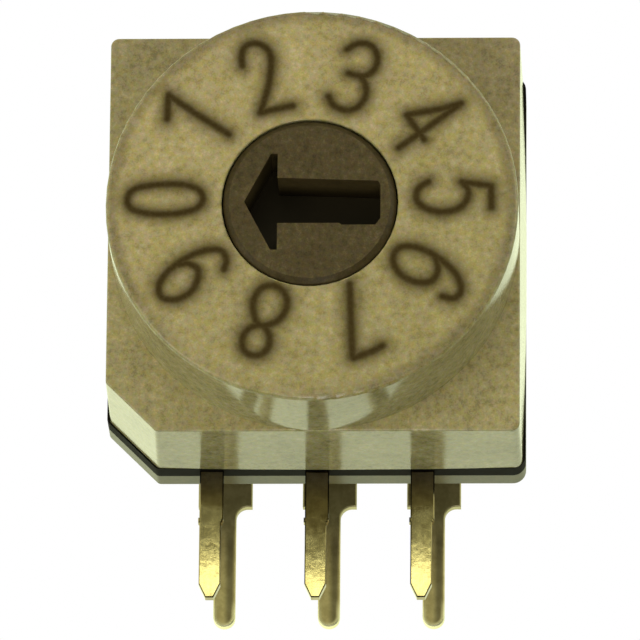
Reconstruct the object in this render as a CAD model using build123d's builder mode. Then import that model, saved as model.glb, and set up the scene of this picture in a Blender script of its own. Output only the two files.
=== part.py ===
from build123d import *
from math import atan2, cos, degrees, radians, sin, sqrt
import os

# Ten-position rotary dip switch with right-angle terminals, in millimetres.
# The origin is the middle of the six-terminal pattern, on the top of the circuit board.
# +X runs along the terminal rows, +Y from the dial into the switch, +Z away from the board.
# A depth is measured from the square front face into the switch, so the dial boss has negative depths.

# Terminal pattern
pin_pitch = 2.54
row_spacing = 2.54
rear_row_shift = 0.25
lead_setback = 0.31
metal_thickness = 0.25
edge_bevel = 0.028

# Body
body_width = 9.88
body_height = 10.0
board_gap = 0.10
housing_depth = 2.83
seam_thickness = 0.56
base_thickness = 0.69
corner_cut = 1.22
rear_corner_cut = 1.17
seam_corner_cut = 1.21
corner_radius = 0.20
cut_edge_radius = 0.14
seam_corner_radius = 0.32
face_edge_radius = 0.05
base_edge_radius = 0.08
corner_draft = 0.03
side_bow = 0.10
end_draft = 0.02
end_bow = 0.03
base_overhang = 0.11
wall = 0.72
front_wall = 0.75

# Dial boss
boss_rim = 0.036
boss_shift = 0.028
boss_foot = 0.01
boss_height = 2.33
boss_root = 0.30
boss_edge_radius = 0.12
bore_chamfer = 0.02

# Rotor
dial_shift = -0.02
dial_lift = 0.022
rotor_radius = 2.062
rotor_proud = 0.06
rotor_edge = 0.14
rotor_clearance = 0.036
hub_ledge = 0.738
hub_front_depth = -0.33
hub_clearance = 0.10
end_play = 0.03
star_thickness = 0.70
pivot_radius = 0.60
pivot_clearance = 0.02
pivot_engagement = 0.45
seal_groove_depth = 0.364
seal_groove_width = 0.42
seal_groove_setback = 0.07
seal_clearance = 0.01
seal_bevel = 0.10

# Arrow-shaped driver slot: margins are from the rotor's edge, the rest is from the rotor axis
arrow_tip_margin = 0.502
arrow_neck = 0.77
arrow_tail_margin = 0.382
arrow_half_head = 1.21
arrow_head_flat = 0.16
arrow_shaft_over = 0.60
arrow_shaft_under = 0.54
arrow_shaft_taper = 0.08
arrow_step_place = 0.75
arrow_step = 0.045
arrow_corner = 0.12
arrow_depth = 1.25

# Ten clicks
positions = 10
notch_share = 0.20
notch_radius = 0.90
spring_thickness = 0.12
spring_width = 0.56
spring_nose_radius = 0.28
spring_clearance = 0.02
spring_foot = 0.80
spring_nose_half_width = 0.55
spring_nose_share = 0.30

# Code disc
disc_thickness = 0.12
disc_clearance = 0.02
disc_inset = 0.03
track_height = 0.30
track_pitch = 0.40
track_rim = 0.18
outer_track_radius = 2.72
code_weights = (1, 2, 4, 8)
window_lap = 3.0
window_clearance = 0.01

# Contact fingers: places along the rows, strip, and the pads that they spring from
front_left_finger = -2.30
front_right_finger = 1.70
rear_left_finger = -1.20
rear_right_finger = 1.45
finger_width = 0.24
finger_thickness = 0.12
finger_curl = 0.22
finger_bend_radius = 0.12
pad_margin = 0.30
front_pad_inset = 0.38
front_pad_height = 0.75
rear_pad_height = 0.30

# Front terminals
front_pin_width = 0.52
front_pin_length = 3.10
front_tip_width = 0.20
front_tip_length = 0.34
nub_drop = 1.25
nub_height = 0.12
nub_size = 0.03
shank_step = 0.055

# Rear terminals
rear_pin_width = 0.53
rear_pin_length = 3.05
shoulder_width = 1.31
shoulder_root_radius = 0.28
rear_exit_inset = 1.50
bend_radius = 0.20

# Base and seam
plug_clearance = 0.04
plug_rim = 0.40
plug_depth = 0.41

# Worked out from the sizes above
base_front_depth = housing_depth + seam_thickness
base_rear_depth = base_front_depth + base_thickness
front_row_depth = base_front_depth - lead_setback
rear_row_depth = front_row_depth + row_spacing
face_y = -row_spacing / 2 - front_row_depth
body_middle_z = board_gap + body_height / 2 + end_draft
half_width = body_width / 2
half_height = body_height / 2
boss_radius = min(half_width, half_height) - boss_rim
boss_drop = half_height - boss_radius - boss_foot
dial_rise = dial_lift - boss_drop
dial_middle_z = body_middle_z + dial_rise
seam_half_width = half_width + base_overhang
seam_half_height = half_height + end_draft
cavity_half_width = half_width - wall
cavity_half_height = half_height - wall
rear_exit_rise = half_height - rear_exit_inset
bore_radius = rotor_radius + rotor_clearance
hub_radius = rotor_radius + hub_ledge
seal_groove_radius = rotor_radius - seal_groove_depth
arrow_tip = rotor_radius - arrow_tip_margin
arrow_tail = rotor_radius - arrow_tail_margin
track_radii = [outer_track_radius - step * track_pitch for step in range(len(code_weights) + 1)]
code_track_radii = dict(zip(code_weights, track_radii))
common_track_radius = track_radii[-1]
notch_floor = outer_track_radius + track_height / 2 + track_rim
spring_room = cavity_half_height - dial_rise - notch_floor
star_radius = notch_floor + notch_share * spring_room
pocket_front_depth = hub_front_depth - end_play
star_front_depth = front_wall + end_play
star_rear_depth = star_front_depth + star_thickness
disc_rear_depth = star_rear_depth + disc_thickness
lead_front_depth = front_row_depth - metal_thickness / 2
lead_rear_depth = front_row_depth + metal_thickness / 2
position_angle = 360 / positions
board_level = -body_middle_z
pivot_end_depth = lead_front_depth + pivot_engagement
rotor_front_depth = -boss_height - rotor_proud
groove_rear_depth = hub_front_depth - seal_groove_setback
groove_front_depth = groove_rear_depth - seal_groove_width


def across(depth):
    """Sketch plane seen from the dial side: x to the right, y up, middle at the middle of the body."""
    return Plane(origin=(0, face_y + depth, body_middle_z), x_dir=(1, 0, 0), z_dir=(0, -1, 0))


def across_dial(depth):
    """The same plane with its middle on the rotor axis."""
    return Plane(origin=(dial_shift, face_y + depth, dial_middle_z), x_dir=(1, 0, 0), z_dir=(0, -1, 0))


def along(x):
    """Sketch plane seen from the right: x is the depth, y is the height from the middle of the body."""
    return Plane(origin=(x, face_y, body_middle_z), x_dir=(0, 1, 0), z_dir=(1, 0, 0))


# Section through the rotor axis: x is the radius, y is the depth.
dial_axis = Axis(origin=(dial_shift, face_y, dial_middle_z), direction=(0, 1, 0))
dial_section = Plane(origin=(dial_shift, face_y, dial_middle_z), x_dir=(1, 0, 0), z_dir=(0, 0, 1))


def wall_line(start, end, bow):
    """One side of an outline, straight or bowed outwards."""
    if bow:
        SagittaArc(start, end, -bow)
    else:
        Line(start, end)


def body_outline(right, top, cut, outline_side_bow=0, outline_end_bow=0, radius=corner_radius):
    """Rectangle with rounded corners and the lower left corner cut off at 45 degrees."""
    with BuildSketch() as outline:
        with BuildLine():
            wall_line((cut - right, -top), (right, -top), outline_end_bow)
            wall_line((right, -top), (right, top), outline_side_bow)
            wall_line((right, top), (-right, top), outline_end_bow)
            wall_line((-right, top), (-right, cut - top), outline_side_bow)
            Line((-right, cut - top), (cut - right, -top))
        make_face()
        corners = outline.vertices().sort_by(lambda corner: corner.X + corner.Y)
        fillet(corners[2:], radius)
        fillet(outline.vertices().sort_by(lambda corner: corner.X + corner.Y)[:2], cut_edge_radius)
    return outline.sketch


def inner_outline(inset):
    """Outline of something inside the body, an even distance from its walls."""
    return body_outline(half_width - inset, half_height - inset, corner_cut - inset * (2 - sqrt(2)))


def seam_outline():
    """Outline of the sealing band and the base, which stand a little proud of the housing."""
    return body_outline(seam_half_width, seam_half_height, seam_corner_cut, radius=seam_corner_radius)


def window_face(radius, height, start, sweep):
    """One window of a code track: a piece of a ring round the rotor axis."""
    inner = radius - height / 2
    outer = radius + height / 2
    with BuildSketch() as window:
        with BuildLine():
            CenterArc((0, 0), outer, start, sweep)
            CenterArc((0, 0), inner, start, sweep)
            for angle in (start, start + sweep):
                direction = Vector(cos(radians(angle)), sin(radians(angle)))
                Line(direction * inner, direction * outer)
        make_face()
    return window.sketch


def open_runs(weight):
    """First position and length of each run of positions in which one code contact is open."""
    is_open = [position & weight == 0 for position in range(positions)]
    runs = []
    for start in range(positions):
        if is_open[start] and not is_open[start - 1]:
            count = 1
            while is_open[(start + count) % positions]:
                count += 1
            runs.append((start, count))
    return runs


def code_windows(clearance):
    """All windows of the code tracks as seen from the dial, drawn smaller by a clearance."""
    with BuildSketch() as windows:
        for weight, radius in code_track_radii.items():
            margin = degrees(clearance / radius)
            for start, count in open_runs(weight):
                first = finger_angles[weight] + start * position_angle - position_angle / 2 + window_lap
                sweep = count * position_angle - 2 * window_lap
                add(window_face(radius, track_height - 2 * clearance, first + margin, sweep - 2 * margin))
    return windows.sketch


def finger_height(finger_x, weight):
    """Height of a finger's contact point over or under the rotor axis."""
    track_radius = code_track_radii.get(weight, common_track_radius)
    return sqrt(track_radius**2 - (finger_x - dial_shift) ** 2)


def save(part, label):
    part.label = label
    export_step(part, f"parts/{label}.step")


os.makedirs("parts", exist_ok=True)

# Six terminals: name, pin place in its row, finger place, and the code weight, or 0 for a common terminal.
# Front fingers touch the disc under the rotor axis, and rear fingers touch it over the axis.
front_terminals = [
    ("front_terminal_left", -pin_pitch, front_left_finger, 1),
    ("front_terminal_middle", 0, 0, 0),
    ("front_terminal_right", pin_pitch, front_right_finger, 2),
]
rear_terminals = [
    ("rear_terminal_left", rear_row_shift - pin_pitch, rear_left_finger, 8),
    ("rear_terminal_middle", rear_row_shift, 0, 0),
    ("rear_terminal_right", rear_row_shift + pin_pitch, rear_right_finger, 4),
]
finger_angles = {}
for terminals, side in ((front_terminals, -1), (rear_terminals, 1)):
    for label, pin_x, finger_x, weight in terminals:
        height = finger_height(finger_x, weight)
        finger_angles[weight] = degrees(atan2(side * height, finger_x - dial_shift))


def contact_finger(finger_x, contact_height, root_height, side):
    """Sprung strip from the lead frame to the code disc. Side is 1 above the axis and -1 under it."""
    contact_depth = disc_rear_depth + disc_clearance + finger_thickness / 2
    with BuildPart() as finger:
        with BuildSketch(along(finger_x)):
            with BuildLine():
                FilletPolyline(
                    (front_row_depth, side * (root_height + pad_margin)),
                    (front_row_depth, side * root_height),
                    (contact_depth, dial_rise + side * contact_height),
                    (contact_depth + finger_curl / 2, dial_rise + side * (contact_height - finger_curl)),
                    radius=finger_bend_radius,
                )
            trace(line_width=finger_thickness)
        extrude(amount=finger_width / 2, both=True)
    return finger.part


def face_edges(terminal, top):
    """Outline edges of a blade's front face, from its tip up to a height."""
    front_face_edges = terminal.edges().group_by(Axis.Y)[0]
    return [edge for edge in front_face_edges if edge.center().Z < body_middle_z + top - edge_bevel]


def front_terminal(label, pin_x, finger_x, weight):
    """Straight stamped terminal: tapered blade, pad in the base, contact finger."""
    contact_height = finger_height(finger_x, weight)
    pad_bottom = front_pad_inset - cavity_half_height
    pad_top = pad_bottom + front_pad_height
    half_pin = front_pin_width / 2
    half_tip = front_tip_width / 2
    tip = board_level - front_pin_length
    nub = board_level - nub_drop + board_gap
    with BuildPart() as terminal:
        with BuildSketch(across(lead_rear_depth)):
            with BuildLine():
                Polyline(
                    (pin_x - half_pin, pad_bottom),
                    (pin_x - half_pin, tip + front_tip_length),
                    (pin_x - half_tip, tip),
                    (pin_x + half_tip, tip),
                    (pin_x + half_pin, tip + front_tip_length),
                    (pin_x + half_pin, pad_bottom),
                    close=True,
                )
            make_face()
            pad_left = min(pin_x - half_pin, finger_x - pad_margin)
            pad_right = max(pin_x + half_pin, finger_x + pad_margin)
            with Locations(((pad_left + pad_right) / 2, (pad_top + pad_bottom) / 2)):
                Rectangle(pad_right - pad_left, pad_top - pad_bottom)
            with Locations((pin_x, nub)):
                Rectangle(front_pin_width + 2 * nub_size, nub_height)
            with Locations((pin_x + shank_step / 2, (pad_bottom + nub) / 2)):
                Rectangle(front_pin_width + shank_step, pad_bottom - nub)
        extrude(amount=metal_thickness)
        chamfer(face_edges(terminal, pad_bottom), edge_bevel)
        add(contact_finger(finger_x, contact_height, -pad_top, -1))
    save(terminal.part, label)
    return terminal.part


def rear_terminal(label, pin_x, finger_x, weight):
    """Bent stamped terminal: round-tipped pin, shoulders that stop on the board, bend, pad, finger."""
    contact_height = finger_height(finger_x, weight)
    pad_top = rear_exit_rise - bend_radius - metal_thickness
    pad_bottom = pad_top - rear_pad_height
    half_pin = rear_pin_width / 2
    half_shoulder = shoulder_width / 2
    tip = board_level - rear_pin_length
    bend_top = rear_exit_rise - bend_radius - metal_thickness / 2
    with BuildPart() as terminal:
        with BuildSketch(across(rear_row_depth + metal_thickness / 2)):
            with Locations((pin_x, (bend_top + board_level) / 2)):
                Rectangle(shoulder_width, bend_top - board_level)
            with BuildLine():
                Polyline(
                    (pin_x - half_pin, board_level),
                    (pin_x - half_pin, tip + half_pin),
                    (pin_x + half_pin, tip + half_pin),
                    (pin_x + half_pin, board_level),
                    close=True,
                )
            make_face()
            with Locations((pin_x, tip + half_pin)):
                Circle(half_pin)
            for side in (-1, 1):
                corner_x = pin_x + side * half_pin
                root_x = corner_x + side * shoulder_root_radius
                root_y = board_level - shoulder_root_radius
                with BuildLine():
                    Line((corner_x, board_level), (root_x, board_level))
                    Line((corner_x, board_level), (corner_x, root_y))
                    RadiusArc((corner_x, root_y), (root_x, board_level), side * shoulder_root_radius)
                make_face()
        extrude(amount=metal_thickness)
        chamfer(face_edges(terminal, bend_top), edge_bevel)
        with BuildSketch(along(pin_x)):
            with BuildLine():
                FilletPolyline(
                    (rear_row_depth, bend_top - bend_radius),
                    (rear_row_depth, rear_exit_rise),
                    (front_row_depth, rear_exit_rise),
                    (front_row_depth, pad_bottom),
                    radius=bend_radius + metal_thickness / 2,
                )
            trace(line_width=metal_thickness)
        extrude(amount=half_shoulder, both=True)
        pad_left = min(pin_x, finger_x - pad_margin)
        pad_right = max(pin_x, finger_x + pad_margin)
        with BuildSketch(across(lead_rear_depth)):
            with Locations(((pad_left + pad_right) / 2, (pad_top + pad_bottom) / 2)):
                Rectangle(pad_right - pad_left, pad_top - pad_bottom)
        extrude(amount=metal_thickness)
        add(contact_finger(finger_x, contact_height, pad_bottom, 1))
    save(terminal.part, label)
    return terminal.part


front_parts = [front_terminal(*terminal) for terminal in front_terminals]
rear_parts = [rear_terminal(*terminal) for terminal in rear_terminals]

# Housing: drafted shell with bowed walls, dial boss, rotor bore, hub pocket and room for the click spring.
with BuildPart() as housing:
    with BuildSketch(across(housing_depth)):
        rear_half_width = half_width + corner_draft
        rear_end_bow = end_bow + end_draft
        add(body_outline(rear_half_width, half_height, rear_corner_cut, side_bow, rear_end_bow))
    with BuildSketch(across(0)):
        add(body_outline(half_width, half_height, corner_cut))
    loft()
    fillet(housing.faces().sort_by(Axis.Y)[0].edges(), face_edge_radius)
    with BuildSketch(across(boss_root)):
        with Locations((boss_shift, -boss_drop)):
            Circle(boss_radius)
    extrude(amount=boss_root + boss_height)
    boss_edge = housing.edges().filter_by(GeomType.CIRCLE).sort_by(Axis.Y)[0]
    fillet(boss_edge, boss_edge_radius)
    with BuildSketch(across(housing_depth)):
        add(inner_outline(wall))
    extrude(amount=housing_depth - front_wall, mode=Mode.SUBTRACT)
    with BuildSketch(across_dial(front_wall)):
        Circle(hub_radius + hub_clearance)
    extrude(amount=front_wall - pocket_front_depth, mode=Mode.SUBTRACT)
    with BuildSketch(across_dial(pocket_front_depth)):
        Circle(bore_radius)
    extrude(amount=pocket_front_depth + boss_height, mode=Mode.SUBTRACT)
    bore_mouth = housing.edges().filter_by(GeomType.CIRCLE).group_by(Axis.Y)[0].sort_by(SortBy.RADIUS)[0]
    chamfer(bore_mouth, bore_chamfer)
save(housing.part, "housing")

# Rotor: turned profile, ten notches, arrow slot, and the raised fields that fill the code disc's windows.
with BuildPart() as rotor:
    with BuildSketch(dial_section):
        with BuildLine():
            Polyline(
                (0, rotor_front_depth),
                (rotor_radius - rotor_edge, rotor_front_depth),
                (rotor_radius, rotor_front_depth + rotor_edge),
                (rotor_radius, groove_front_depth),
                (seal_groove_radius, groove_front_depth),
                (seal_groove_radius, groove_rear_depth),
                (rotor_radius, groove_rear_depth),
                (rotor_radius, hub_front_depth),
                (hub_radius, hub_front_depth),
                (hub_radius, star_front_depth),
                (star_radius, star_front_depth),
                (star_radius, star_rear_depth),
                (pivot_radius, star_rear_depth),
                (pivot_radius, pivot_end_depth),
                (0, pivot_end_depth),
                close=True,
            )
        make_face()
    revolve(axis=dial_axis)
    with BuildSketch(across_dial(star_rear_depth)):
        with PolarLocations(notch_floor + notch_radius, positions, start_angle=90):
            Circle(notch_radius)
    extrude(amount=star_thickness, mode=Mode.SUBTRACT)
    with BuildSketch(across_dial(disc_rear_depth)):
        add(code_windows(window_clearance))
    extrude(amount=disc_thickness)
    with BuildSketch(across_dial(rotor_front_depth + arrow_depth)):
        with BuildLine():
            Polyline(
                (-arrow_tip, 0),
                (-arrow_neck - arrow_head_flat, arrow_half_head),
                (-arrow_neck, arrow_half_head),
                (-arrow_neck, arrow_shaft_over),
                (arrow_tail - arrow_corner / 2, arrow_shaft_over - arrow_shaft_taper),
                (arrow_tail, arrow_shaft_over - arrow_shaft_taper - arrow_corner),
                (arrow_tail, arrow_corner - arrow_shaft_under),
                (arrow_tail - arrow_corner, -arrow_shaft_under - arrow_step),
                (arrow_step_place, -arrow_shaft_under - arrow_step),
                (arrow_step_place - arrow_step, -arrow_shaft_under),
                (-arrow_neck, -arrow_shaft_under),
                (-arrow_neck, -arrow_half_head),
                (-arrow_neck - arrow_head_flat, -arrow_half_head),
                close=True,
            )
        make_face()
    extrude(amount=arrow_depth, mode=Mode.SUBTRACT)
save(rotor.part, "rotor")

# Rubber ring in the rotor's groove, cut from tube, with its outer edges bevelled.
seal_height = bore_radius - seal_groove_radius - 2 * seal_clearance
seal_length = seal_groove_width - 2 * seal_clearance
seal_middle_depth = (groove_front_depth + groove_rear_depth) / 2
with BuildPart() as rotor_seal_ring:
    with BuildSketch(dial_section):
        with Locations(((bore_radius + seal_groove_radius) / 2, seal_middle_depth)):
            seal_section = Rectangle(seal_height, seal_length)
        chamfer(seal_section.vertices().group_by(Axis.X)[-1], seal_bevel)
    revolve(axis=dial_axis)
save(rotor_seal_ring.part, "rotor_seal_ring")

# Click spring: bent strip whose feet bear on the housing roof and whose nose sits in a notch.
spring_reach = cavity_half_width - corner_radius - spring_clearance - abs(dial_shift)
spring_rear_depth = star_rear_depth - (star_thickness - spring_width) / 2
foot_level = cavity_half_height - dial_rise - spring_thickness / 2 - spring_clearance
nose_level = notch_floor + spring_clearance + spring_thickness / 2
spring_nose_height = spring_nose_share * (foot_level - nose_level)
nose_slope = atan2(spring_nose_height, spring_nose_half_width)
nose_point = nose_level - spring_nose_radius * (1 / cos(nose_slope) - 1)
nose_root = nose_point + spring_nose_height
with BuildPart() as click_spring:
    with BuildSketch(across_dial(spring_rear_depth)):
        with BuildLine():
            FilletPolyline(
                (-spring_reach, foot_level),
                (-spring_reach + spring_foot, foot_level),
                (-spring_nose_half_width, nose_root),
                (0, nose_point),
                (spring_nose_half_width, nose_root),
                (spring_reach - spring_foot, foot_level),
                (spring_reach, foot_level),
                radius=spring_nose_radius,
            )
        trace(line_width=spring_thickness)
    extrude(amount=spring_width)
save(click_spring.part, "click_spring")

# Code disc: one common track, and windows in four code tracks where that code contact is open.
with BuildPart() as code_disc:
    with BuildSketch(across_dial(disc_rear_depth)):
        Circle(notch_floor - disc_inset)
        Circle(pivot_radius + pivot_clearance, mode=Mode.SUBTRACT)
        add(code_windows(0), mode=Mode.SUBTRACT)
    extrude(amount=disc_thickness)
save(code_disc.part, "code_disc")

# Band of sealing compound in the seam, moulded round the front terminals.
with BuildPart() as sealing_band:
    with BuildSketch(across(base_front_depth)):
        add(seam_outline())
        add(inner_outline(wall), mode=Mode.SUBTRACT)
    extrude(amount=seam_thickness)
    for terminal_part in front_parts:
        add(terminal_part, mode=Mode.SUBTRACT)
save(sealing_band.part, "sealing_band")

# Base: plate, plug with a rim inside the housing, pivot hole, moulded round the six terminals.
plug_front_depth = housing_depth - plug_depth
with BuildPart() as base:
    with BuildSketch(across(base_rear_depth)):
        add(seam_outline())
    extrude(amount=base_thickness)
    fillet(base.faces().sort_by(Axis.Y)[-1].edges(), base_edge_radius)
    with BuildSketch(across(base_front_depth)):
        add(inner_outline(wall + plug_clearance))
    extrude(amount=base_front_depth - plug_front_depth)
    with BuildSketch(across(lead_front_depth)):
        add(inner_outline(wall + plug_clearance + plug_rim))
    extrude(amount=lead_front_depth - plug_front_depth, mode=Mode.SUBTRACT)
    with BuildSketch(across_dial(pivot_end_depth + end_play)):
        Circle(pivot_radius + pivot_clearance)
    extrude(amount=pivot_engagement + end_play, mode=Mode.SUBTRACT)
    for terminal_part in front_parts + rear_parts:
        add(terminal_part, mode=Mode.SUBTRACT)
save(base.part, "base")
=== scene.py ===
# %% [markdown]
# # A ten-position rotary dip switch
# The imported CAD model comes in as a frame: thirteen solids that already have their true size and place.
# This lesson gives each of them a finish, marks the dial with its ten numbers, and lights and frames the
# switch as a close-up on a white table. The switch stands on its terminals with the dial towards the lens:
# x runs to the right, y from the dial into the switch, and z up. Lengths are written in millimetres and are
# turned into metres where Blender takes them.

# %% Load the frame
from math import cos, pi, radians, sin

import bpy
import numpy as np
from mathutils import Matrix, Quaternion, Vector


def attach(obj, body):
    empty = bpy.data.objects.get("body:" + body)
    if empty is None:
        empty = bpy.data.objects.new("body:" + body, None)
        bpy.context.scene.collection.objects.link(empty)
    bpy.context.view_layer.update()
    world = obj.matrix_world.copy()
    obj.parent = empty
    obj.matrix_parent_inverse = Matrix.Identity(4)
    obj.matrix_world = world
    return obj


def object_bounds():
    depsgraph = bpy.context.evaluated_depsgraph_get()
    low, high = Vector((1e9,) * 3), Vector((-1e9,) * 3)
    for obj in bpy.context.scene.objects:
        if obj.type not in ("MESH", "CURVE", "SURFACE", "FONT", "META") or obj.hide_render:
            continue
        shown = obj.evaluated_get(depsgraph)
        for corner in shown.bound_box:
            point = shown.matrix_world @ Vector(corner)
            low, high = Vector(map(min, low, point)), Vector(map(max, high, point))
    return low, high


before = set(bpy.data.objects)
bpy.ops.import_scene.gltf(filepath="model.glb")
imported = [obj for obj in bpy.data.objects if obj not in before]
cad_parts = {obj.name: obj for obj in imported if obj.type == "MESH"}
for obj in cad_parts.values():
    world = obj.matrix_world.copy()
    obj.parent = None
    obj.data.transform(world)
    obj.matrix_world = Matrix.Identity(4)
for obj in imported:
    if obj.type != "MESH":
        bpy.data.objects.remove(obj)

cad_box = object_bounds()
MM = 0.001
print("CAD nodes:", ", ".join(sorted(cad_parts)))

# %% [markdown]
# ## The camera
# The photograph was taken from a little under the switch, so that its lower wall and the terminals show.
# The terminals stand on a 2.54 mm grid, which fixes how far away the lens was and how steeply it looked up.
# A long lens from 223 mm keeps the square body nearly square. The camera is aimed at the middle of the
# picture, and not shifted, so that it can be moved to other views without anything sliding.

# %% Camera
camera_place = Vector((7.490, -214.664, -69.844))
camera_target = Vector((0.236, -6.350, 2.214))
camera_roll = 0.0087
focal_length = 524.26
film_width = 36
nearest_seen = 10
farthest_seen = 10000

bpy.ops.object.camera_add(location=camera_place * MM)
camera = bpy.context.object
camera.name = "close_up_camera"
sight_line = camera_target - camera_place
level_view = sight_line.to_track_quat("-Z", "Y")
camera.rotation_mode = "QUATERNION"
camera.rotation_quaternion = level_view @ Quaternion((0, 0, 1), camera_roll)
camera.data.lens = focal_length
camera.data.sensor_width = film_width
camera.data.clip_start = nearest_seen * MM
camera.data.clip_end = farthest_seen * MM
bpy.context.scene.camera = camera
bpy.context.scene.view_settings.view_transform = "Standard"
print("camera distance in mm:", round(sight_line.length, 1))

# %% [markdown]
# ## Writing shaders as sums
# A procedural finish is mostly arithmetic on numbers that change over the surface. Wiring that by hand takes
# dozens of Math nodes, so a small class wraps a node's output and lets Python's operators add those nodes.

# %% Numbers on a surface
class Output:
    """One output of a node, on which Python's operators add Math nodes."""

    def __init__(self, graph, socket):
        self.graph = graph
        self.socket = socket

    def other(self, name):
        """Another output of the same node."""
        return Output(self.graph, self.socket.node.outputs[name])

    def calc(self, operation, *operands):
        return self.graph.node("ShaderNodeMath", {"operation": operation}, dict(enumerate(operands)))

    def __add__(self, other):
        return self.calc("ADD", self, other)

    def __sub__(self, other):
        return self.calc("SUBTRACT", self, other)

    def __rsub__(self, other):
        return self.calc("SUBTRACT", other, self)

    def __mul__(self, other):
        return self.calc("MULTIPLY", self, other)

    __radd__ = __add__
    __rmul__ = __mul__

    def size(self):
        return self.calc("ABSOLUTE", self)

    def root(self):
        return self.calc("SQRT", self)

    def exponent(self):
        return self.calc("EXPONENT", self)

    def at_least(self, other):
        return self.calc("MAXIMUM", self, other)

    def wrapped(self, low, high):
        """The number brought between two others by whole steps of the distance between them."""
        return self.calc("WRAP", self, high, low)

    def between(self, low, high):
        """0 at the low value, 1 at the high one, and a smooth step from one to the other."""
        places = {"Value": self, "From Min": low, "From Max": high}
        return self.graph.node("ShaderNodeMapRange", {"interpolation_type": "SMOOTHSTEP"}, places)


print("operators that add Math nodes: + - *")

# %% [markdown]
# ## One method for every node
# Whatever its kind, a node is added the same way. Its settings come first, because some of them change which
# sockets it has, then a ramp's stops, and last the numbers or links of its sockets.

# %% Node trees
class Graph:
    """A node tree, with one method that adds any node."""

    def __init__(self, tree):
        self.tree = tree

    def node(self, kind, settings=None, sockets=None, output=0, stops=None):
        node = self.tree.nodes.new(kind)
        for name, value in (settings or {}).items():
            setattr(node, name, value)
        if stops:
            ramp = node.color_ramp
            while len(ramp.elements) < len(stops):
                ramp.elements.new(0.5)
            for element, (place, color) in zip(ramp.elements, stops):
                element.position = place
                element.color = color
        for name, value in (sockets or {}).items():
            self.fill(node.inputs[name], value)
        return Output(self, node.outputs[output])

    def fill(self, socket, value):
        """Links a socket to an output, or sets its number or colour."""
        if isinstance(value, Output):
            self.tree.links.new(value.socket, socket)
        else:
            socket.default_value = value

    def mix(self, factor, first, second, blend_type="MIX"):
        """A blend of two colours, the first where the factor is 0."""
        settings = {"data_type": "RGBA", "blend_type": blend_type}
        # The node has one set of sockets for each data type: its colours are 6 and 7, and come out at 2.
        return self.node("ShaderNodeMix", settings, {0: factor, 6: first, 7: second}, output=2)


print("a node tree is filled with one method")

# %% [markdown]
# ## A finish
# A finish is a material on Blender's Principled shader. What varies over a surface is linked to that shader,
# and what is the same all over is set on its sockets. Patterns are laid out in millimetres of the object's
# own space, so they keep their true size and stay in place when a piece moves.

# %% Finishes
class Finish(Graph):
    """A material on a Principled shader. Numbers that are the same all over go straight on its sockets."""

    def __init__(self, name, constants=None):
        self.material = bpy.data.materials.new(name)
        self.material.use_nodes = True
        super().__init__(self.material.node_tree)
        self.shader = self.tree.nodes["Principled BSDF"]
        for socket, value in (constants or {}).items():
            self.shader.inputs[socket].default_value = value
        metres = self.node("ShaderNodeTexCoord", output="Object")
        self.place = self.node("ShaderNodeVectorMath", {"operation": "SCALE"}, {0: metres, "Scale": 1 / MM})

    def parts(self, vector):
        """The three numbers in a vector."""
        first = self.node("ShaderNodeSeparateXYZ", sockets={0: vector})
        return [first.other(axis) for axis in "XYZ"]

    def noise(self, per_mm, detail=2.0, roughness=0.5, stretch=(1, 1, 1), shift=(0, 0, 0)):
        """Cloudy noise around 0.5, with so many lumps to the millimetre."""
        placing = {"Vector": self.place, "Location": shift, "Scale": stretch}
        place = self.node("ShaderNodeMapping", sockets=placing)
        values = {"Vector": place, "Scale": per_mm, "Detail": detail, "Roughness": roughness}
        return self.node("ShaderNodeTexNoise", sockets=values)

    def tint(self, color, factor, first, second):
        """The colour times a blend of two tints."""
        return self.mix(1.0, color, self.mix(factor, first, second), "MULTIPLY")

    def bump(self, height, depth_mm):
        """A surface normal from a height between 0 and 1 that stands for a depth in millimetres."""
        values = {"Height": height, "Distance": depth_mm * MM, "Strength": 1.0}
        return self.node("ShaderNodeBump", sockets=values)

    def surface(self, **links):
        """Joins what varies to the Principled shader."""
        for name, value in links.items():
            self.fill(self.shader.inputs[name.replace("_", " ")], value)
        return self.material


def screen(red, green, blue):
    """A colour picked on a screen, from 0 to 255, as the linear colour that a shader works in."""
    shares = [value / 255 for value in (red, green, blue)]
    return [share / 12.92 if share <= 0.04045 else ((share + 0.055) / 1.055) ** 2.4 for share in shares] + [1]


print("a mid grey of 128 is", round(screen(128, 128, 128)[0], 3), "in linear light")

# %% [markdown]
# ## Light
# A small part like this is shot in a white tent. The world stands for the tent, with a faint even light and a
# few soft glows, each with a direction, a level and a sharpness. Lamps could do all of it, but the polished
# walls would then mirror hard-edged boxes. The camera sees plain white. What mirrors sees the glows, in a
# slightly yellow white, and behind the switch at least as much light as the camera sees there.

# %% World
# Each glow: degrees round from the lens towards the right, degrees up, level, sharpness.
tent_glows = [
    (180, -20, 0.92, 7),
    (180, 20, 1.06, 7),
    (205, 0, 0.92, 25),
    (-45, -20, 0.80, 7),
    (0, 50, 2.00, 12),
    (94, 16, 1.10, 14),
    (-94, 16, 1.10, 14),
]
even_light = 0.14
table_share = 0.2
# A direction has a height from -1, straight down, to 1. Below these heights the table dims the even light.
table_heights = (-0.85, -0.45)
# It has a depth from -1, towards the lens, to 1. Beyond these depths a mirror sees the white backdrop.
backdrop_depths = (-0.15, 0.35)
plain_white = (1, 1, 1, 1)
warm_white = (0.90, 0.98, 0.66, 1)

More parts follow.
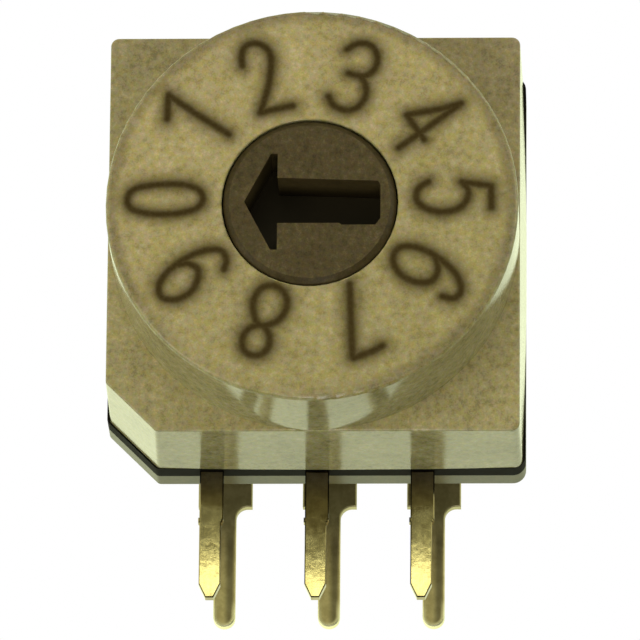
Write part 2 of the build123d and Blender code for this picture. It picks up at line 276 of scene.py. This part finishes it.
world = bpy.data.worlds.new("white_tent")
bpy.context.scene.world = world
world.use_nodes = True
tent = Graph(world.node_tree)
background = world.node_tree.nodes["Background"]
direction = tent.node("ShaderNodeTexCoord", output="Generated")
upward = tent.node("ShaderNodeSeparateXYZ", sockets={0: direction}, output="Z")
backward = upward.other("Y")
above_table = upward.between(*table_heights)
light = above_table * (even_light * (1 - table_share)) + even_light * table_share
for around, up, level, sharpness in tent_glows:
    flat = cos(radians(up))
    toward = (sin(radians(around)) * flat, -cos(radians(around)) * flat, sin(radians(up)))
    nearness = tent.node("ShaderNodeVectorMath", {"operation": "DOT_PRODUCT"}, {0: direction, 1: toward},
                         output="Value")
    light = light + ((nearness - 1) * sharpness).exponent() * level
to_camera = tent.node("ShaderNodeLightPath", output="Is Camera Ray")
mirror = to_camera.other("Is Glossy Ray")
plain = to_camera + to_camera.other("Is Transmission Ray")
light = light.at_least(mirror * backward.between(*backdrop_depths))
tent.fill(background.inputs["Color"], tent.mix(mirror, plain_white, warm_white))
tent.fill(background.inputs["Strength"], plain + (1 - plain) * light)
print("glows in the tent:", len(tent_glows))

# %% [markdown]
# ## Lamps
# Three soft boxes shape the solids: a strong one from under the lens, one from the left, and a weak one from
# the right, which stays above the table so that it draws no edge of light on it. The front terminals flash at
# their lower ends. Only a mirror image does that, so three narrow cards stand where those ends mirror them.
# How high a card's upper edge is says how far up its terminal the flash reaches. Only mirrors see the cards.

# %% Soft boxes and glint cards
def soft_box(name, place, target, width, height, level):
    """A rectangular lamp of an even brightness, aimed at a point. Places and sizes are in millimetres."""
    bpy.ops.object.light_add(type="AREA", location=Vector(place) * MM)
    lamp = bpy.context.object
    lamp.name = name
    lamp.rotation_mode = "QUATERNION"
    lamp.rotation_quaternion = (Vector(target) - Vector(place)).to_track_quat("-Z", "Y")
    lamp.data.shape = "RECTANGLE"
    lamp.data.size = width * MM
    lamp.data.size_y = height * MM
    lamp.data.energy = level * pi * width * height * MM * MM
    lamp.visible_camera = False
    return lamp


box_size = 20
box_target = (0, -5, 4)
# Each soft box: its place and its level.
soft_boxes = {
    "low_box": ((5, -34, -34), 4.6),
    "left_box": ((-35, -30, -14), 3.1),
    "right_box": ((24, -18, 13), 1.2),
}
for name, (place, level) in soft_boxes.items():
    soft_box(name, place, box_target, box_size, box_size, level)

card_depth = -22
card_height = 1.2
card_level = 5.6
# Each glint card: how far to the right its middle is, how high its upper edge, and its width.
glint_cards = {
    "left": (-3.6, 4.32, 3.0),
    "middle": (-0.7, 3.98, 2.6),
    "right": (2.3, 4.30, 3.2),
}
for place, (x, top, width) in glint_cards.items():
    card_middle = (x, card_depth, top - card_height / 2)
    straight_back = (x, 0, card_middle[2])
    card = soft_box(f"glint_card_{place}", card_middle, straight_back, width, card_height, card_level)
    card.data.color = warm_white[:3]
    card.visible_diffuse = False

# %% [markdown]
# ## The floor
# The switch stands on its terminals on a pale table. The camera looks up from below that table, so the table
# top is one-sided: from above it is a floor with a soft shadow, and from below nothing hides the switch. It
# fades into the white of the tent with distance, so that it has no edge.

# %% Floor
floor_gap = 0.01
floor_level = cad_box[0][2] - floor_gap * MM
floor_size = 400 * MM
fade_starts = 40
fade_ends = 150

bpy.ops.object.select_all(action="DESELECT")
bpy.ops.mesh.primitive_plane_add(size=floor_size, location=(0, 0, floor_level))
bpy.ops.object.transform_apply(location=True, rotation=True, scale=True)
floor = bpy.context.object
floor.name = "pale_floor"
table_top = Finish("table_top", {"Roughness": 0.9, "Specular IOR Level": 0.2})
table_grain = table_top.noise(per_mm=0.6, detail=4)
table_color = table_top.mix(table_grain.between(0.3, 0.7), screen(236, 236, 233), screen(242, 242, 240))
table_top.surface(Base_Color=table_color)
white = table_top.node("ShaderNodeEmission", sockets={"Color": plain_white, "Strength": 1.0})
clear = table_top.node("ShaderNodeBsdfTransparent")
from_middle = table_top.node("ShaderNodeVectorMath", {"operation": "LENGTH"}, {0: table_top.place},
                             output="Value")
far = from_middle.between(fade_starts, fade_ends)
painted = Output(table_top, table_top.shader.outputs[0])
faded = table_top.node("ShaderNodeMixShader", sockets={0: far, 1: painted, 2: white})
behind = table_top.node("ShaderNodeNewGeometry", output="Backfacing")
one_sided = table_top.node("ShaderNodeMixShader", sockets={0: behind, 1: faded, 2: clear})
table_top.fill(table_top.tree.nodes["Material Output"].inputs["Surface"], one_sided)
floor.data.materials.append(table_top.material)
floor.visible_diffuse = False
floor.visible_glossy = False
floor.visible_transmission = False
floor.visible_shadow = False
print("floor at", round(floor_level / MM, 2), "mm")

# %% [markdown]
# ## Moulded plastic
# The shell, the rotor and the base are filled plastics. A close look shows them mottled at three sizes, from
# clouds of a millimetre to specks of a few hundredths, with faint shifts of hue. Faces from a textured part
# of the mould are matt, and faces from a polished part mirror. One function makes all of it: the way a face
# looks tells the two apart, because only the front faces look along the depth of the switch.

# %% Mottled finish
plastic_ior = 1.5
clouds_per_mm = 0.9
mottle_per_mm = 5.5
specks_per_mm = 26
dark_to_middle = (0.38, 0.51)
middle_to_light = (0.50, 0.64)
hue_range = (0.36, 0.64)
greener = (0.95, 1.03, 0.98, 1)
redder = (1.06, 0.97, 1.02, 1)
yellower = (1, 1, 0.78, 1)
bluer = (1, 1, 1.24, 1)
matt_facing = (0.75, 0.98)


def moulded(name, tones, matt_roughness, wall_roughness, grain_depth, shine=0.5):
    """Mottled plastic: tones are its dark, middle and light colour. Returns the finish and its parts."""
    finish = Finish(name, {"IOR": plastic_ior, "Specular IOR Level": shine})
    clouds = finish.noise(clouds_per_mm, detail=3, roughness=0.6)
    mottle = finish.noise(mottle_per_mm, detail=5, roughness=0.72)
    specks = finish.noise(specks_per_mm, detail=2, roughness=0.6)
    tone = clouds * 0.25 + mottle * 0.55 + specks * 0.20
    dark, middle, light = tones
    color = finish.mix(tone.between(*dark_to_middle), dark, middle)
    color = finish.mix(tone.between(*middle_to_light), color, light)
    ruddy = finish.noise(per_mm=11, detail=3, roughness=0.7, shift=(3.1, 1.7, 5.3))
    sallow = finish.noise(per_mm=9, detail=3, roughness=0.7, shift=(7.9, 4.4, 2.6))
    color = finish.tint(color, ruddy.between(*hue_range), greener, redder)
    color = finish.tint(color, sallow.between(*hue_range), yellower, bluer)
    facing = finish.node("ShaderNodeTexCoord", output="Normal")
    along_depth = finish.parts(facing)[1].size()
    matt = along_depth.between(*matt_facing)
    roughness = matt * (matt_roughness - wall_roughness) + wall_roughness + (mottle - 0.5) * 0.06
    grain = finish.bump(mottle * 0.6 + specks * 0.4, grain_depth)
    return finish, color, roughness, grain, along_depth


def dress(node_name, material):
    """Gives a CAD node its finish."""
    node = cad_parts[node_name]
    node.data.materials.clear()
    node.data.materials.append(material)
    print(node_name, "wears", material.name, "of", len(material.node_tree.nodes), "nodes")


print("clouds, mottle and specks in mm:", round(1 / clouds_per_mm, 2), round(1 / mottle_per_mm, 2),
      round(1 / specks_per_mm, 2))

# %% [markdown]
# ## Painted light and shade on the dial
# The dial is moulded in one with the shell. Its colour is painted lighter towards its upper left and darker
# towards its lower right, as painted light. A narrow ring at its edge is painted darker, as painted shade
# where the edge starts to turn away into its rounded rim. At the lower left, where that rim catches the
# light, the painted shade hardly shows. Modelling a rounder rim would change the solid, so the ring is part
# of the finish.

# %% Dial painted light and shade
no_tint = (1, 1, 1, 1)
boss_middle = (0.028, 5.034)
dial_front = (5.2, 6.4)
dial_span = (-5, 5)
ring_inside = (4.48, 4.76)
ring_outside = (4.78, 4.90)
# The ring's tint is painted shade where the dial's rim turns away, and is mostly spared at the lower left.
rim_shade_tint = (0.66, 0.65, 0.68, 1)
mild_part = (3.4, 4.7)
mild_share = 0.85


def dial_painted_light_and_shade(finish, color, lower_right_painted_shade_tint, upper_left_painted_light_tint):
    """The dial's plastic with painted light towards its upper left, and painted shade where its edge starts
    to turn.
    """
    x, y, z = finish.parts(finish.place)
    right = x - boss_middle[0]
    up = z - boss_middle[1]
    on_dial = (0 - y).between(*dial_front)
    to_upper_left = up * 0.95 - right * 0.5
    # Painted light: lighter towards the upper left, and painted shade towards the lower right.
    shade = finish.tint(color, to_upper_left.between(*dial_span), lower_right_painted_shade_tint, upper_left_painted_light_tint)
    radius = (right * right + up * up).root()
    # Painted shade in a ring at the dial's edge, weaker at the lower left.
    ring = radius.between(*ring_inside) * (1 - radius.between(*ring_outside))
    lower_left = (0 - up * 0.95 - right * 0.30).between(*mild_part)
    shade = finish.tint(shade, ring * (1 - lower_left * mild_share), no_tint, rim_shade_tint)
    return finish.mix(on_dial, color, shade)


print("the ring at the dial's edge is", round(ring_outside[1] - ring_inside[0], 2), "mm wide")

# %% [markdown]
# ## The moulded shell
# The dial and the square front of the housing are finely matt, while its walls came off a polished mould and
# mirror what is around them. The walls are also painted a shade less red than the front, as a painted tint
# for the colour of what they mirror. The shell is painted a little darker towards its upper right, as painted
# shade.

# %% Shell plastic
housing_tones = (screen(142, 130, 79), screen(174, 161, 103), screen(200, 186, 126))
upper_right_shade_part = (4, 12)
upper_right_shade_tint = (0.87, 0.83, 0.84, 1)
front_facing = (0.5, 0.95)
# The walls' painted reflection tint, a shade less red than the front.
wall_reflection_tint = (0.88, 0.97, 1.02, 1)
shell, shell_color, shell_roughness, shell_grain, shell_facing = moulded(
    "housing_plastic", housing_tones, matt_roughness=0.65, wall_roughness=0.12, grain_depth=0.0025)
shell_x, _, shell_z = shell.parts(shell.place)
# Painted shade: the shell darker towards its upper right.
to_upper_right_shade = (shell_z + shell_x * 0.35).between(*upper_right_shade_part)
shell_color = shell.tint(shell_color, to_upper_right_shade, no_tint, upper_right_shade_tint)
# Painted reflection tint: the walls a shade less red than the front faces.
shell_color = shell.tint(shell_color, shell_facing.between(*front_facing), wall_reflection_tint, no_tint)
# The dial's painted shade at its lower right and painted light at its upper left.
shell_color = dial_painted_light_and_shade(shell, shell_color, (0.88, 0.86, 0.80, 1), (1.06, 1.03, 1.02, 1))
shell.surface(Base_Color=shell_color, Roughness=shell_roughness, Normal=shell_grain)
dress("housing", shell.material)

# %% [markdown]
# ## The numbers
# The numbers are burnt into the plastic by a laser that draws with one stroke. A stroke has a dark core and a
# wide brown halo that fades over half a millimetre. Text objects have outlines, not strokes, so each number
# is drawn here as a few lines of points. A point is given by how far it lies to the right of its number's
# middle line, as one reads the number, and how far out from the middle of the ring of numbers.

# %% Strokes
number_strokes = {
    0: [[(-0.03, 4.345), (0.15, 4.28), (0.26, 4.10), (0.325, 3.75), (0.355, 3.35), (0.32, 2.95), (0.21, 2.66),
         (-0.03, 2.55), (-0.26, 2.70), (-0.37, 3.05), (-0.405, 3.45), (-0.385, 3.85), (-0.30, 4.18),
         (-0.17, 4.32), (-0.03, 4.345)]],
    1: [[(-0.39, 3.955), (0.11, 4.285)],
        [(0.11, 4.285), (0.115, 3.5), (0.155, 2.53)]],
    2: [[(-0.535, 3.70), (-0.47, 3.96), (-0.34, 4.13), (-0.15, 4.165), (0.04, 4.08), (0.16, 3.90),
         (0.18, 3.70), (0.09, 3.42), (-0.10, 3.0), (-0.485, 2.42)],
        [(-0.485, 2.42), (-0.2, 2.40), (0.30, 2.35)]],
    3: [[(-0.355, 3.84), (-0.19, 4.03), (0.04, 4.115), (0.25, 4.05), (0.40, 3.86), (0.435, 3.62),
         (0.345, 3.40), (0.16, 3.29), (-0.125, 3.27)],
        [(0.16, 3.29), (0.34, 3.12), (0.435, 2.84), (0.37, 2.56), (0.20, 2.39), (0.0, 2.35), (-0.21, 2.39),
         (-0.40, 2.56)]],
    4: [[(0.175, 4.28), (0.02, 3.85), (-0.34, 3.09)],
        [(-0.34, 3.07), (0.40, 3.04)],
        [(0.175, 4.28), (0.20, 3.4), (0.215, 2.43)]],
    5: [[(0.25, 4.30), (-0.28, 4.29)],
        [(-0.28, 4.29), (-0.33, 3.95), (-0.385, 3.60)],
        [(-0.385, 3.60), (-0.22, 3.73), (-0.03, 3.745), (0.19, 3.63), (0.34, 3.35), (0.36, 3.02),
         (0.27, 2.73), (0.10, 2.55), (-0.08, 2.52), (-0.26, 2.60), (-0.39, 2.80)]],
    6: [[(0.16, 4.01), (0.10, 4.18), (-0.03, 4.29), (-0.20, 4.28), (-0.38, 4.12), (-0.50, 3.85),
         (-0.555, 3.45), (-0.545, 3.10), (-0.455, 2.75), (-0.30, 2.52), (-0.10, 2.44), (0.11, 2.52),
         (0.26, 2.75), (0.30, 3.02), (0.22, 3.33), (0.05, 3.54), (-0.15, 3.58), (-0.37, 3.49),
         (-0.53, 3.28)]],
    7: [[(-0.50, 4.07), (-0.28, 4.12), (0.22, 4.155)],
        [(0.22, 4.155), (0.235, 4.05), (0.0, 3.20), (-0.235, 2.36)]],
    8: [[(0.09, 4.17), (0.30, 4.08), (0.405, 3.83), (0.33, 3.55), (0.10, 3.40), (-0.13, 3.52),
         (-0.245, 3.83), (-0.14, 4.08), (0.09, 4.17)],
        [(0.10, 3.40), (0.33, 3.20), (0.46, 2.85), (0.37, 2.50), (0.10, 2.36), (-0.20, 2.48),
         (-0.34, 2.80), (-0.24, 3.17), (0.10, 3.40)]],
    9: [[(0.47, 3.50), (0.36, 3.30), (0.12, 3.205), (-0.12, 3.38), (-0.26, 3.68), (-0.22, 4.02),
         (-0.08, 4.22), (0.10, 4.29), (0.31, 4.18), (0.45, 3.92), (0.51, 3.50), (0.47, 3.05), (0.34, 2.68),
         (0.14, 2.475), (-0.10, 2.52), (-0.26, 2.70)]],
}
print("strokes in each number:", {number: len(strokes) for number, strokes in number_strokes.items()})

# %% [markdown]
# ## Smooth lines round the dial
# A laser's line is smooth, so a curve is laid through the points of each stroke and cut into short straight
# bits, which are easy to measure to. Each bit is then turned to its number's place, 36 degrees from the next.

# %% Straight bits
ring_middle = (-0.008, 5.171)
degrees_apart = 36
first_number_at = 180


def on_curve(t, a, b, c, d):
    """A number on the curve that leads from b to c, at the share t of the way, with a before and d after."""
    bend = (2 * a - 5 * b + 4 * c - d) * t**2
    twist = (3 * b - a - 3 * c + d) * t**3
    return 0.5 * (2 * b + (c - a) * t + bend + twist)


def smooth_line(points, steps=8):
    """Points along a smooth line through the given ones, which is closed when it ends where it starts."""
    if len(points) == 2:
        return points
    closed = points[0] == points[-1]
    before = points[-2] if closed else points[0]
    after = points[1] if closed else points[-1]
    full = [before, *points, after]
    line = []
    for spans in zip(full, full[1:], full[2:], full[3:]):
        for step in range(steps):
            line.append(tuple(on_curve(step / steps, *values) for values in zip(*spans)))
    line.append(points[-1])
    return line


def dial_place(number, right, outward):
    """A point given beside a number, as x and z on the dial. The numbers go round clockwise from the left."""
    turn = radians(first_number_at - degrees_apart * number)
    x = ring_middle[0] + right * sin(turn) + outward * cos(turn)
    z = ring_middle[1] - right * cos(turn) + outward * sin(turn)
    return x, z


bits_of_number = {}
for number, strokes in number_strokes.items():
    lines = [[dial_place(number, *point) for point in smooth_line(stroke)] for stroke in strokes]
    bits_of_number[number] = np.array([(*a, *b) for line in lines for a, b in zip(line, line[1:])])
all_bits = np.concatenate(list(bits_of_number.values()))
print("straight bits in the strokes:", len(all_bits))

# %% [markdown]
# ## How far is a point from a stroke?
# A soft-edged stroke needs one number at each point of a surface: the distance to the nearest stroke. It is
# worked out here for the vertices and stored on the mesh as an attribute, and the shader turns it into ink.
# Distances change evenly, so a mesh only has to be fine where the strokes bend.

# %% Distance to the strokes
def nearest(points, bits):
    """For each point its distance to the nearest straight bit, and the nearest place on that bit."""
    start = bits[None, :, :2]
    run = bits[None, :, 2:] - start
    offset = points[:, None, :] - start
    share = np.clip((offset * run).sum(2) / (run * run).sum(2), 0, 1)
    places = start + share[..., None] * run
    distances = np.linalg.norm(points[:, None, :] - places, axis=2)
    best = distances.argmin(1)
    rows = np.arange(len(points))
    return distances[rows, best], places[rows, best]


def dial_places(piece):
    """The vertices of a piece as x and z, in millimetres."""
    return np.array([vertex.co for vertex in piece.data.vertices])[:, [0, 2]] / MM


def store_distance(piece, bits):
    """Keeps the distance to the strokes, in millimetres, as a number for each vertex."""
    distances, _ = nearest(dial_places(piece), bits)
    attribute = piece.data.attributes.new("stroke_distance", "FLOAT", "POINT")
    attribute.data.foreach_set("value", distances)


middle_reach, _ = nearest(np.array([ring_middle]), all_bits)
print("from the middle of the ring to the nearest stroke in mm:", round(float(middle_reach[0]), 2))

# %% [markdown]
# ## Burnt plastic
# The marked surface is the dial's plastic with ink on it, so the same function makes it, in the same place
# and at the same size. That way the mottle runs on without a seam. It shines less than the shell, so that
# the ink stays dark, and its tones are closer together, because the dial looks more even than the square
# front. A ramp says how much ink there is at each distance from a stroke, and noise makes the burn a
# little uneven.

# %% Marked plastic
ink_reach = 0.5
burnt_brown = screen(64, 50, 14)
dial_plastic_tones = (screen(150, 138, 85), screen(174, 161, 103), screen(195, 181, 122))
ink_by_distance = [
    (0.0, 1.0), (0.03, 0.985), (0.05, 0.95), (0.07, 0.89), (0.09, 0.80), (0.115, 0.70), (0.15, 0.58),
    (0.195, 0.45), (0.245, 0.335), (0.30, 0.205), (0.365, 0.11), (0.45, 0.04), (0.5, 0.0),
]
marked, marked_color, marked_roughness, marked_grain, _ = moulded(
    "marked_plastic", dial_plastic_tones, matt_roughness=0.65, wall_roughness=0.12, grain_depth=0.0025,
    shine=0.1)
distance = marked.node("ShaderNodeAttribute", {"attribute_name": "stroke_distance"}, output="Fac")
ink = marked.node("ShaderNodeValToRGB", sockets={0: distance * (1 / ink_reach)},
                  stops=[(place / ink_reach, (share, share, share, 1)) for place, share in ink_by_distance])
burn = marked.noise(per_mm=14, detail=3, roughness=0.6)
ink_share = ink * (burn * 0.16 + 0.92)
# The same painted light at the dial's upper left and painted shade at its lower right and rim.
marked_color = dial_painted_light_and_shade(marked, marked_color, (0.94, 0.94, 0.93, 1), (1.18, 1.15, 1.20, 1))
marked.surface(Base_Color=marked.mix(ink_share, marked_color, burnt_brown),
               Roughness=marked_roughness, Normal=marked_grain)
print("stops of ink:", len(ink_by_distance), "nodes:", len(marked.tree.nodes))

# %% [markdown]
# ## The skin of the dial
# The halo is wide and soft, so it goes on one thin ring that lies on the whole dial. A circle is made at the
# inner edge of the ring and extruded outwards in steps, as one would pull rings out of it by hand. The bore
# isn't quite in the middle of the boss, so each step also moves a little from one middle to the other.

# %% Dial skin
dial_depth = -6.68
skin_lift = 0.0015
skin_inner = 2.125
skin_outer = 4.78
bore_middle = Vector((-0.02, dial_depth - skin_lift, 5.056))
boss_offset = Vector((0.048, -0.022, 0))
skin_steps = 34
skin_sides = 256

bpy.ops.object.select_all(action="DESELECT")
bpy.ops.mesh.primitive_circle_add(vertices=skin_sides, radius=skin_inner * MM, location=(0, 0, 0),
                                  fill_type="NOTHING")
dial_skin = bpy.context.object
dial_skin.name = "dial_skin"
bpy.ops.object.mode_set(mode="EDIT")
bpy.ops.mesh.select_all(action="SELECT")
growth = (skin_outer - skin_inner) / skin_steps
for step in range(skin_steps):
    radius = skin_inner + step * growth
    stretch = (radius + growth) / radius
    ring_center = boss_offset * (step / skin_steps) * MM
    bpy.ops.mesh.extrude_region_move()
    bpy.ops.transform.resize(value=(stretch, stretch, 1), center_override=ring_center)
    bpy.ops.transform.translate(value=boss_offset / skin_steps * MM)
bpy.ops.object.mode_set(mode="OBJECT")
dial_skin.rotation_euler = (pi / 2, 0, 0)
dial_skin.location = bore_middle * MM
bpy.ops.object.transform_apply(location=True, rotation=True, scale=True)
store_distance(dial_skin, all_bits)
dial_skin.data.materials.append(marked.material)
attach(dial_skin, "switch_body")
print("dial skin faces:", len(dial_skin.data.polygons), "turned to", tuple(dial_skin.data.polygons[0].normal))

# %% [markdown]
# ## The cores of the strokes
# The cores are narrow and bend tightly, so each number gets a fine grid of its own over the skin. Faces away
# from the strokes are selected by their distance and deleted, and the stepped edge that is left is pulled
# onto an even line, so that the piece has the clean shape of its number.

# %% Cutting a number out of a grid
core_lift = 0.003
core_reach = 0.10
grid_pitch = 0.022


def grid_over(bits, name):
    """A fine upright grid in front of the dial, over some straight bits."""
    ends = np.concatenate([bits[:, :2], bits[:, 2:]])
    low = ends.min(0) - core_reach - grid_pitch
    high = ends.max(0) + core_reach + grid_pitch
    wide, tall = high - low
    columns, rows = int(wide / grid_pitch), int(tall / grid_pitch)
    bpy.ops.object.select_all(action="DESELECT")
    bpy.ops.mesh.primitive_grid_add(x_subdivisions=columns, y_subdivisions=rows, size=MM)
    grid = bpy.context.object
    grid.name = name
    grid.scale = (wide, tall, 1)
    grid.rotation_euler = (pi / 2, 0, 0)
    middle = (low + high) / 2
    grid.location = Vector((middle[0], dial_depth - core_lift, middle[1])) * MM
    bpy.ops.object.transform_apply(location=True, rotation=True, scale=True)
    return grid


def cut_away(piece, bits):
    """Deletes the faces that no stroke reaches, and leaves the new edge selected."""
    reach, _ = nearest(dial_places(piece), bits)
    bpy.ops.object.mode_set(mode="EDIT")
    bpy.ops.mesh.select_mode(type="FACE")
    bpy.ops.mesh.select_all(action="DESELECT")
    bpy.ops.object.mode_set(mode="OBJECT")
    for face in piece.data.polygons:
        face.select = min(reach[vertex] for vertex in face.vertices) > core_reach
    bpy.ops.object.mode_set(mode="EDIT")
    bpy.ops.mesh.delete(type="FACE")
    bpy.ops.mesh.select_mode(type="VERT")
    bpy.ops.mesh.select_non_manifold(extend=False)
    bpy.ops.object.mode_set(mode="OBJECT")


def even_edge(piece, bits):
    """Moves the selected edge to one distance from the strokes."""
    places = dial_places(piece)
    reach, closest = nearest(places, bits)
    for vertex, place, distance, close in zip(piece.data.vertices, places, reach, closest):
        if vertex.select:
            edge = close + (place - close) * core_reach / distance
            vertex.co.x, vertex.co.z = edge * MM


print("a core is", core_reach * 2, "mm wide, on a grid of", grid_pitch, "mm")

# %% [markdown]
# ## Ten number pieces
# The numbers differ, so each is cut from its own grid rather than copied. All of them ride on the body.

# %% Number pieces
def number_piece(number):
    """One number as a thin plate with the shape of its strokes."""
    bits = bits_of_number[number]
    piece = grid_over(bits, f"number_{number}")
    cut_away(piece, bits)
    even_edge(piece, bits)
    store_distance(piece, bits)
    piece.data.materials.append(marked.material)
    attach(piece, "switch_body")
    return piece


numbers = [number_piece(number) for number in number_strokes]
print("number faces:", [len(piece.data.polygons) for piece in numbers])

# %% [markdown]
# ## The rotor
# The rotor is moulded in a darker plastic. Soft light from all sides reaches further into its arrow slot than
# it does in the photograph, so the finish is painted over to a dark brown with depth, as painted shade. Edges
# and walls that turn away from the front take on part of that painted shade, which draws the outline of the
# arrow.

# %% Rotor plastic
rotor_tones = (screen(64, 54, 28), screen(84, 72, 40), screen(104, 91, 55))
slot_shade_brown = screen(50, 41, 22)
rotor_face = -6.74
dark_depths = (0.5, 1.15)
turned_away = (0.60, 0.95)
edge_shade_share = 0.55
rotor_plastic, rotor_color, rotor_roughness, rotor_grain, rotor_facing = moulded(
    "rotor_plastic", rotor_tones, matt_roughness=0.6, wall_roughness=0.35, grain_depth=0.002, shine=0.15)
depth = rotor_plastic.parts(rotor_plastic.place)[1] - rotor_face
# Painted shade: darker with depth in the arrow slot, and partly on edges and walls that turn away.
in_slot = depth.between(*dark_depths)
edge = 1 - rotor_facing.between(*turned_away)
painted_shade_share = in_slot + (1 - in_slot) * edge * edge_shade_share
rotor_color = rotor_plastic.mix(painted_shade_share, rotor_color, slot_shade_brown)
rotor_plastic.surface(Base_Color=rotor_color, Roughness=rotor_roughness, Normal=rotor_grain)
dress("rotor", rotor_plastic.material)

# %% [markdown]
# ## The black seam
# Behind the shell runs a band whose near-black colour is painted shade for the groove between shell and base.
# Its shine changes along its length and it has small pits.

# %% Seam finish with painted shade
seam = Finish("seam_compound", {"IOR": plastic_ior, "Specular IOR Level": 0.06})
seam_drift = seam.noise(per_mm=1.6, detail=4, roughness=0.6)
pits = seam.noise(per_mm=12, detail=2)
# Painted shade: the near-black colour stands for the shade in the groove at the seam.
seam_shade_color = seam.mix(seam_drift.between(0.4, 0.65), screen(10, 8, 4), screen(24, 21, 12))
seam_relief = seam.bump(seam_drift * 0.7 + pits * 0.3, 0.006)
seam.surface(Base_Color=seam_shade_color, Roughness=seam_drift * 0.3 + 0.55, Normal=seam_relief)
dress("sealing_band", seam.material)

# %% [markdown]
# ## The grey base
# The base plate is a plainer, darker grey plastic than the shell, and nowhere polished.

# %% Base plastic
base_tones = (screen(74, 69, 35), screen(91, 85, 45), screen(108, 101, 58))
base_plastic, base_color, base_roughness, base_grain, _ = moulded(
    "base_plastic", base_tones, matt_roughness=0.55, wall_roughness=0.4, grain_depth=0.003)
base_plastic.surface(Base_Color=base_color, Roughness=base_roughness, Normal=base_grain)
dress("base", base_plastic.material)

# %% [markdown]
# ## Plated strip
# The terminals are stamped from plated strip. Rolling leaves fine lines along the strip, which a noise
# stretched along z gives, and plating makes a slightly cloudy shine. The metal pieces inside are made alike.

# %% Plated metal
fine_relief = 0.003
coarse_relief = 0.006
along_strip = (1, 1, 0.06)


def plated(name, light_tone, dark_tone, roughness):
    """Plated metal with rolling lines along its length, which runs up the switch."""
    finish = Finish(name, {"Metallic": 1.0})
    clouds = finish.noise(per_mm=3.5, detail=4, roughness=0.65)
    lines = finish.noise(per_mm=20, detail=2, stretch=along_strip)
    color = finish.mix(clouds.between(0.35, 0.65), dark_tone, light_tone)
    rough = clouds * 0.08 + lines * 0.06 + roughness
    relief = clouds * 0.6 + lines * 0.4
    return finish, color, rough, relief


print("the rolling lines are", round(1 / along_strip[2]), "times as long as wide")

# %% [markdown]
# ## The front terminals
# The front blades are polished, so that their lower ends mirror the glint cards. Towards the seam, which they
# come out of, they are painted darker and less yellow, as painted shade.

# %% Front plating
seam_shade_part = (-0.9, 0)
seam_shade_tint = (0.46, 0.47, 0.80, 1)
front_strip, front_color, front_rough, front_relief = plated(
    "front_plating", screen(162, 147, 108), screen(142, 127, 90), roughness=0.03)
_, _, front_z = front_strip.parts(front_strip.place)
# Painted shade: the blades darker and less yellow towards the seam.
front_color = front_strip.tint(front_color, front_z.between(*seam_shade_part), no_tint, seam_shade_tint)
front_normal = front_strip.bump(front_relief, fine_relief)
front_strip.surface(Base_Color=front_color, Roughness=front_rough, Normal=front_normal)
for place in ("left", "middle", "right"):
    dress(f"front_terminal_{place}", front_strip.material)

# %% [markdown]
# ## The rear terminals
# The rear blades are duller. Each is painted with shade on its right side below its shoulders and on its
# shoulders, the rest a touch lighter, and with a painted highlight in a rim round its tip, for the light on
# the edge that the stamping rolled over. All three share one finish: x is wrapped at the pitch of the row, so
# that it says how far a point is to the right of its own blade. The rim needs the distance from the middle of
# the round tip, or higher up from the blade's middle line.

# %% Rear plating
rear_row_shift = 0.25
half_pitch = 1.27
dark_starts = (-0.05, 0.12)
dark_ends = (0.17, 0.27)
below_shoulders = (-1.0, -0.4)
tip_middle = -2.785
rim_band = (0.15, 0.25)
rim_heights = (-2.8, -2.3)
shoulder_heights = (-0.9, -0.3)
light_side_painted_tint = (1.05, 1.05, 1.05, 1)
dark_side_shade_tint = (0.42, 0.42, 0.45, 1)
shoulder_shade_tint = (0.62, 0.64, 0.66, 1)
rim_highlight_color = (1.0, 0.93, 0.62, 1)
rear_strip, rear_color, rear_rough, rear_relief = plated(
    "rear_plating", screen(228, 212, 160), screen(206, 190, 140), roughness=0.34)
rear_x, _, rear_z = rear_strip.parts(rear_strip.place)
own_x = rear_x.wrapped(rear_row_shift - half_pitch, rear_row_shift + half_pitch)
beside_blade = own_x - rear_row_shift
# Painted shade on each blade's right side below the shoulders; the rest is painted a touch lighter.
right_side = beside_blade.between(*dark_starts) * (1 - beside_blade.between(*dark_ends))
dark_side_shade = right_side * (1 - rear_z.between(*below_shoulders))
below_tip = (tip_middle - rear_z).at_least(0)
from_tip = (beside_blade * beside_blade + below_tip * below_tip).root()
# Painted highlight in a rim round the tip.
rim_highlight = from_tip.between(*rim_band) * (1 - rear_z.between(*rim_heights))
rear_color = rear_strip.tint(rear_color, dark_side_shade * (1 - rim_highlight), light_side_painted_tint, dark_side_shade_tint)
# Painted shade on the shoulders.
rear_color = rear_strip.tint(rear_color, rear_z.between(*shoulder_heights), no_tint, shoulder_shade_tint)
rear_color = rear_strip.mix(rim_highlight, rear_color, rim_highlight_color)
rear_normal = rear_strip.bump(rear_relief, coarse_relief)
rear_strip.surface(Base_Color=rear_color, Roughness=rear_rough, Normal=rear_normal)
for place in ("left", "middle", "right"):
    dress(f"rear_terminal_{place}", rear_strip.material)

# %% [markdown]
# ## The pieces inside
# The rubber ring, the click spring and the code disc are hidden, but each still gets what it is made of.

# %% Inner finishes
rubber = Finish("seal_rubber", {"IOR": plastic_ior})
bloom = rubber.noise(per_mm=6, detail=3)
rubber_color = rubber.mix(bloom, screen(24, 24, 24), screen(44, 44, 42))
rubber.surface(Base_Color=rubber_color, Roughness=bloom * 0.3 + 0.45, Normal=rubber.bump(bloom, 0.004))
dress("rotor_seal_ring", rubber.material)

# Each metal piece inside: its finish, the light and dark tone of its plating, and its roughness.
inner_metals = {
    "click_spring": ("spring_steel", screen(205, 205, 202), screen(176, 176, 172), 0.18),
    "code_disc": ("contact_metal", screen(226, 200, 140), screen(204, 176, 116), 0.15),
}
for node_name, plating in inner_metals.items():
    metal, metal_color, metal_rough, metal_relief = plated(*plating)
    metal_normal = metal.bump(metal_relief, fine_relief)
    metal.surface(Base_Color=metal_color, Roughness=metal_rough, Normal=metal_normal)
    dress(node_name, metal.material)
